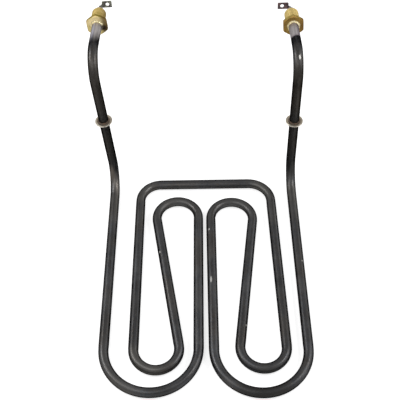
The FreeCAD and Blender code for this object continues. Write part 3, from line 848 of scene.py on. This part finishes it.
# The profile's points with the kind of each: on the hexagon's two rims its height
# is a share of the edge wear
def bushingProfile(values):
    flat = values["width"] / 2
    thickness = element["hexagon"]
    crest, bore, rounding = values["threadRadius"], values["bore"], values["rounding"]
    root = crest - values["reliefDepth"]
    start, end = barrelEnds(values)
    lift = values["faceLift"]
    nearFace = [(bore, 0.0), (values["faceRing"], 0.0), (flat - rounding, 0.0), (flat, lift)]
    nearRim = [(flat, share) for share in values["edgeRows"]]
    farRim = nearRim[::-1]
    farFace = [(flat, thickness - lift), (flat - rounding, thickness), (root + rounding, thickness),
               (root, thickness + rounding), (root, start - values["reliefRunOut"])]
    steps = math.ceil((end - start) / values["pitch"] * values["perTurn"])
    thread = [(crest, start + (end - start) * step / steps) for step in range(steps + 1)]
    mouth = [(crest - values["lead"] - values["endFlat"], end),
             (bore + rounding, end), (bore, end - rounding)]
    parts = (("face", nearFace), ("near", nearRim), ("far", farRim), ("face", farFace),
             ("thread", thread), ("face", mouth))
    kinds = [kind for kind, points in parts for point in points]
    return [point for kind, points in parts for point in points], kinds


def threadHeight(phase, values):  # 1 on the crest and 0 in the root of a worn 60 degree thread
    distance = abs((phase % 1) - 0.5) * 2
    return min(1.0, max(0.0, (distance - values["rootShare"]) / values["flankShare"]))


def makeBushing(name, values):
    profile, kinds = bushingProfile(values)
    flat = values["width"] / 2
    crest = values["threadRadius"]
    root = crest - values["reliefDepth"]
    start, end = barrelEnds(values)

    def rimPoint(kind, share, angle):
        hexagon = hexagonRadius(angle, values)
        cut = values["chamfer"] * (hexagon - flat) / (hexagonCorner(values) - flat)
        radial = hexagon - values["edgeWear"] * max(0.0, 1 - share) ** 2
        depth = max(values["leastCut"], cut + values["edgeWear"] * (share - values["edgeShift"]))
        return radial, depth if kind == "near" else element["hexagon"] - depth

    def threadPoint(height, angle):
        runIn = min(1.0, (height - start) / values["threadRunIn"])
        lead = max(0.0, height - (end - values["lead"]))
        phase = height / values["pitch"] - angle / (2 * math.pi)
        cut = crest - values["threadDepth"] * (1 - threadHeight(phase, values))
        return max(root, min(crest - lead, cut)) * runIn + root * (1 - runIn), height

    def shape(number, radius, height, angle):
        kind = kinds[number]
        if kind == "thread":
            return threadPoint(height, angle)
        return (radius, height) if kind == "face" else rimPoint(kind, height, angle)

    def marked(number, k):  # 1 on the hexagon's edges and corners
        if kinds[number] in ("near", "far"):
            atCorner = k % (values["around"] // 6) == 0
            return 1.0 if atCorner or profile[number][1] <= 1.0 else 0.0
        return 1.0 if profile[number] == (flat, values["faceLift"]) else 0.0

    turn = Matrix.Rotation(math.radians(halves[name]["turn"]), 4, "Z")
    place = endFrame(name, element["toBushing"]) @ turn
    piece = turnPiece(name + "Bushing", place, profile, values["around"], shape, values["sharp"], marked)
    finishPiece(piece, brassMaterial(name, values), name + "_threaded_bushing")


def brassMaterial(name, values):
    finish = values["finish"][name]
    material, tree, shader = newMaterial(name + "Brass")
    own = attribute(tree, "own")
    worn = split(tree, attribute(tree, "zone"))[0]
    turning = useGroup(tree, turningMarks, own, values["turning"])
    clouds, patches, grain = (useGroup(tree, mottle, own, values[kind])
                              for kind in ("clouds", "patches", "grain"))
    parts = split(tree, own)
    onBarrel = reachMask(tree, parts[2], values["barrelFrom"])
    onFlat = reachMask(tree, parts[2], values["flatFrom"])
    paler = calc(tree, "MAXIMUM", clouds["Mask"], finish["pale"])
    barrel = mixColour(tree, paler, values["barrelBrass"], values["barrelPale"])
    # painted light: the relief groove paler, against the shade it lies in
    reliefLightMask = times(tree, band(tree, parts[2], *values["reliefBand"]), values["reliefLightShare"])
    barrel = mixColour(tree, reliefLightMask, barrel, values["reliefPaintedLight"])
    hexagon = mixColour(tree, onFlat, finish["face"], finish["flat"])
    hexagon = mixColour(tree, times(tree, patches["Mask"], finish["patched"]), hexagon, finish["stain"])
    rubbed = times(tree, calc(tree, "POWER", worn, values["wearPower"]), grain["Height"])
    hexagon = mixColour(tree, rubbed, hexagon, values["wornEdge"])
    colour = mixColour(tree, onBarrel, hexagon, barrel)

    # Braze spilt over the upper part of the near face
    away = distanceFrom(tree, own)
    away = ragged(tree, away, grain["Height"], values["spillRagged"])
    above = calc(tree, "MULTIPLY_ADD", parts[0], values["spillTilt"], parts[1])
    spilt = times(tree, inverted(tree, reachMask(tree, away, values["spillReach"])),
                  reachMask(tree, above, values["spillAbove"]), finish["spill"], inverted(tree, onFlat))
    colour = mixColour(tree, spilt, colour, values["spilt"])

    # Painted shade towards the right, and soot in one place
    turn = math.radians(halves[name]["turn"])
    rightward = calc(tree, "SUBTRACT", times(tree, parts[1], math.sin(turn)),
                     times(tree, parts[0], math.cos(turn)))
    rightward = ragged(tree, rightward, clouds["Height"], values["rightShadeRagged"])
    rightShade = times(tree, reachMask(tree, rightward, finish["rightShade"]),
                    mixValue(tree, onBarrel, *values["rightShadeShares"]))
    colour = mixColour(tree, rightShade, colour, finish["stain"])
    away = distanceFrom(tree, own, values["sootPlace"])
    away = ragged(tree, away, grain["Height"], values["sootRagged"])
    sooty = times(tree, inverted(tree, reachMask(tree, away, values["sootReach"])), finish["sooty"])
    colour = mixColour(tree, sooty, colour, values["soot"])
    feed(tree, shader, Base_Color=colour, Metallic=values["metal"], Specular_Tint=values["edgeTint"],
         Roughness=mixValue(tree, clouds["Mask"], finish["dull"], finish["dull"] + values["dullSpread"]))
    height = mixValue(tree, values["grainInBump"], turning["Height"], grain["Height"])
    setBump(tree, shader, height, *values["bump"])
    return material


for half in halves:
    makeBushing(half, bushing)
print("bushings turned and threaded")


# Braze that ran round the joint and set in a hollow, uneven ring
brazes = {
    "around": 72,
    "bushingWidth": 2.1,
    "washerWidth": 1.3,
    "unevenness": 0.28,
    "lumps": 1.6,  # how often the ring swells
    "climbLumps": 1.7,  # the same for its height, in shares of that
    "swell": 1.6,
    "hollow": 1.9,
    "seeds": {"left": 2.3, "right": 7.9, "byName": 3.7, "byWidth": 11.0},
    "rows": 7,
    "silver": (0.74, 0.68, 0.46, 1),
    "silverDark": (0.44, 0.36, 0.19, 1),
    "flux": (0.022, 0.014, 0.010, 1),
    "fluxPale": (0.09, 0.055, 0.032, 1),
    # the tone of the painted shadow on the left bushing's braze
    "burnt": (0.060, 0.042, 0.030, 1),
    "paintedShadowPlace": (-7.0, -3.0, 0.0),  # painted shadow beside the left one, round here
    "burntReach": (6.0, 2.5),
    "foot": (0.36, 0.26, 0.10, 1),  # the thin outer edge takes the colour of what it lies on
    "footReach": (6.5, 7.4),
    "clouds": {"Scale": 420.0, "Low": 0.38, "High": 0.62},
    "grain": {"Scale": 2400.0, "Detail": 3.0},
    "dullSpread": 0.2,
    "grainInBump": 0.5,
    "bump": (0.5, 0.15),
    "finish": {  # two tones, dullness, metal, and the shares of the painted shadow and of the foot's colour
        "leftSilverBraze": ("silver", "silverDark", 0.42, 0.8, 0.95, 0.3),
        "rightSilverBraze": ("silver", "silverDark", 0.42, 0.8, 0.0, 0.8),
        "brownBraze": ("flux", "fluxPale", 0.55, 0.0, 0.0, 0.0),
    },
}


# direction is 1 where the braze climbs along z from its face, and -1 where it climbs back
def makeBraze(name, frameMatrix, width, face, direction, values, material, node):
    inner = element["sheathRadius"]
    seeds = values["seeds"]
    side = "left" if name.startswith("left") else "right"
    seed = Vector((len(name) * seeds["byName"], width * seeds["byWidth"], seeds[side]))
    shares = [None] + [step / values["rows"] for step in range(values["rows"] + 1)]
    if direction < 0:
        shares = [None] + shares[:0:-1]

    def swollen(around):
        lump = 0.5 - 0.5 * noise.noise(around) * values["swell"]
        return width * (1 - values["unevenness"] * lump)

    def shape(number, radius, height, angle):
        share = shares[number]
        if share is None:  # the hidden corner between sheath and face
            return inner, face
        around = Vector((math.cos(angle), math.sin(angle), 0)) * values["lumps"] + seed
        outward = swollen(around) * (1 - share) ** values["hollow"]
        climb = swollen(around * values["climbLumps"]) * share ** values["hollow"]
        return inner + outward, face + direction * climb

    piece = turnPiece(name, frameMatrix, [(inner, face)] * len(shares), values["around"], shape=shape)
    finishPiece(piece, material, node)


def brazeMaterial(name, values):
    light, dark, dull, metal, burnt, foot = values["finish"][name]
    material, tree, shader = newMaterial(name)
    own = attribute(tree, "own")
    clouds, grain = (useGroup(tree, mottle, own, values[kind]) for kind in ("clouds", "grain"))
    colour = mixColour(tree, clouds["Mask"], values[light], values[dark])
    if foot:
        away = distanceFrom(tree, own)
        mask = times(tree, reachMask(tree, away, values["footReach"]), foot)
        colour = mixColour(tree, mask, colour, values["foot"])
    # painted shadow on the left bushing's braze, beside the sheath
    if burnt:
        away = distanceFrom(tree, own, values["paintedShadowPlace"])
        mask = times(tree, reachMask(tree, away, values["burntReach"]), burnt)
        colour = mixColour(tree, mask, colour, values["burnt"])
    feed(tree, shader, Base_Color=colour, Metallic=metal,
         Roughness=mixValue(tree, clouds["Mask"], dull, dull + values["dullSpread"]))
    height = mixValue(tree, values["grainInBump"], clouds["Height"], grain["Height"])
    setBump(tree, shader, height, *values["bump"])
    return material


brazeFinish = {name: brazeMaterial(name, brazes) for name in brazes["finish"]}


# Washer brazed on each leg as a stop
washer = {
    "around": 72,
    "radius": 9.65,
    "thickness": 1.5,
    "clearance": 0.1,
    "innerBevel": 0.1,
    "rounding": 0.35,
    "steps": 4,
    "steel": (0.43, 0.39, 0.32, 1),
    "brown": (0.095, 0.058, 0.034, 1),
    # painted highlight on the washer's outer rim
    "rim": (0.60, 0.57, 0.52, 1),
    "clouds": {"Scale": 190.0, "Low": 0.42, "High": 0.70},
    "turning": {"Pitch": 0.00025},
    "burntReach": (6.4, 8.4),  # from the leg's axis
    "topFrom": (0.6, 1.2),
    "burntShares": (0.4, 0.85),  # below and on top
    "cloudShare": 0.42,
    "rimHighlightReach": (9.3, 9.6),
    "metal": 0.75,
    "roughness": (0.22, 0.42),
    "bump": (0.1, 0.03),
}


def makeWasher(name, values, material):
    inner = element["sheathRadius"] + values["clearance"]
    bevel, rounding = values["innerBevel"], values["rounding"]
    rim, top = values["radius"] - rounding, values["thickness"] - rounding
    angles = [math.pi / 2 * step / values["steps"] for step in range(values["steps"] + 1)]
    profile = [(inner, bevel), (inner + bevel, 0.0)]
    arc = [(rounding * math.sin(angle), rounding * math.cos(angle)) for angle in angles]
    profile += [(rim + sine, rounding - cosine) for sine, cosine in arc]
    profile += [(rim + cosine, top + sine) for sine, cosine in arc]
    profile += [(inner + bevel, values["thickness"]), (inner, values["thickness"] - bevel)]
    place = riserFrame(name, halves[name]["washer"])
    piece = turnPiece(name + "Washer", place, profile, values["around"])
    finishPiece(piece, material, name + "_leg_washer")


def washerMaterial(values):
    material, tree, shader = newMaterial("washerSteel")
    own = attribute(tree, "own")
    clouds = useGroup(tree, mottle, own, values["clouds"])
    turning = useGroup(tree, turningMarks, own, values["turning"])
    parts = split(tree, own)
    radius = fromAxis(tree, parts)
    burnt = inverted(tree, reachMask(tree, radius, values["burntReach"]))
    onTop = reachMask(tree, parts[2], values["topFrom"])
    burnt = times(tree, burnt, mixValue(tree, onTop, *values["burntShares"]))
    stain = calc(tree, "MAXIMUM", burnt, times(tree, clouds["Mask"], values["cloudShare"]))
    # painted highlight: the outer rim lighter than the top
    rimHighlight = calc(tree, "SUBTRACT", reachMask(tree, radius, values["rimHighlightReach"]), onTop)
    rimHighlight = addNode(tree, "Clamp", {0: rimHighlight}).outputs[0]
    steel = mixColour(tree, rimHighlight, values["steel"], values["rim"])
    feed(tree, shader, Base_Color=mixColour(tree, stain, steel, values["brown"]), Metallic=values["metal"],
         Roughness=mixValue(tree, clouds["Mask"], *values["roughness"]))
    setBump(tree, shader, turning["Height"], *values["bump"])
    return material


washerSteel = washerMaterial(washer)
for half in halves:
    makeWasher(half, washer, washerSteel)
    makeBraze(half + "BushingBraze", endFrame(half, element["toBushing"]), brazes["bushingWidth"], 0.0, -1,
              brazes, brazeFinish[half + "SilverBraze"], half + "_bushing_braze")
    makeBraze(half + "WasherBraze", riserFrame(half, halves[half]["washer"]), brazes["washerWidth"],
              washer["thickness"], 1, brazes, brazeFinish["brownBraze"],
              half + "_washer_braze")
print("washers and brazes made")


# Terminal pieces keep their solids and get broken edges and a finish
terminals = {
    "bevels": {"_terminal_lug": 0.12, "_terminal_pin": 0.0, "_ceramic_bushing": 0.15, "_end_seal": 0.0},
    "bevelSegments": 2,
    "bevelAngle": 50,  # degrees
    "clouds": (0.40, 0.64),
    "grain": {"Scale": 3200.0, "Detail": 3.0},
    "dullSpread": 0.15,
    "bump": (0.3, 0.08),
    "finish": {  # ground tone, tone of the clouds and their scale, dullness, metal
        # painted highlights: the left lug's greenish-grey clouds
        "leftLugOxide": ((0.058, 0.046, 0.052, 1), (0.24, 0.25, 0.19, 1), 330.0, 0.38, 0.3),
        "rightLugOxide": ((0.058, 0.046, 0.052, 1), (0.14, 0.078, 0.080, 1), 330.0, 0.38, 0.3),
        "pinSteel": ((0.055, 0.048, 0.047, 1), (0.022, 0.018, 0.018, 1), 300.0, 0.35, 0.8),
        "ceramic": ((0.40, 0.33, 0.24, 1), (0.17, 0.12, 0.08, 1), 240.0, 0.65, 0.0),
        "resin": ((0.30, 0.09, 0.05, 1), (0.38, 0.14, 0.08, 1), 500.0, 0.45, 0.0),
    },
}


def dressNode(name, material, bevel, values):
    node = bpy.data.objects[name]
    if node.material_slots:
        for slot in node.material_slots:
            slot.material = material
    else:
        node.data.materials.append(material)
    if bevel:
        edge = node.modifiers.new("brokenEdges", "BEVEL")
        edge.width = bevel * mm
        edge.segments = values["bevelSegments"]
        edge.limit_method = "ANGLE"
        edge.angle_limit = math.radians(values["bevelAngle"])


def plainMaterial(name, values):
    ground, cloudy, scale, dull, metal = values["finish"][name]
    material, tree, shader = newMaterial(name)
    place = addNode(tree, "TexCoord").outputs["Object"]
    low, high = values["clouds"]
    clouds = useGroup(tree, mottle, place, {"Scale": scale, "Low": low, "High": high})
    grain = useGroup(tree, mottle, place, values["grain"])
    feed(tree, shader, Base_Color=mixColour(tree, clouds["Mask"], ground, cloudy), Metallic=metal,
         Roughness=mixValue(tree, clouds["Mask"], dull, dull + values["dullSpread"]))
    setBump(tree, shader, grain["Height"], *values["bump"])
    return material


def makeTerminals(values):
    materials = {name: plainMaterial(name, values) for name in values["finish"]}
    for side in halves:
        chosen = {"_terminal_lug": side + "LugOxide", "_terminal_pin": "pinSteel",
                  "_ceramic_bushing": "ceramic", "_end_seal": "resin"}
        for node, finish in chosen.items():
            dressNode(side + node, materials[finish], values["bevels"][node], values)


makeTerminals(terminals)
print("terminals finished")
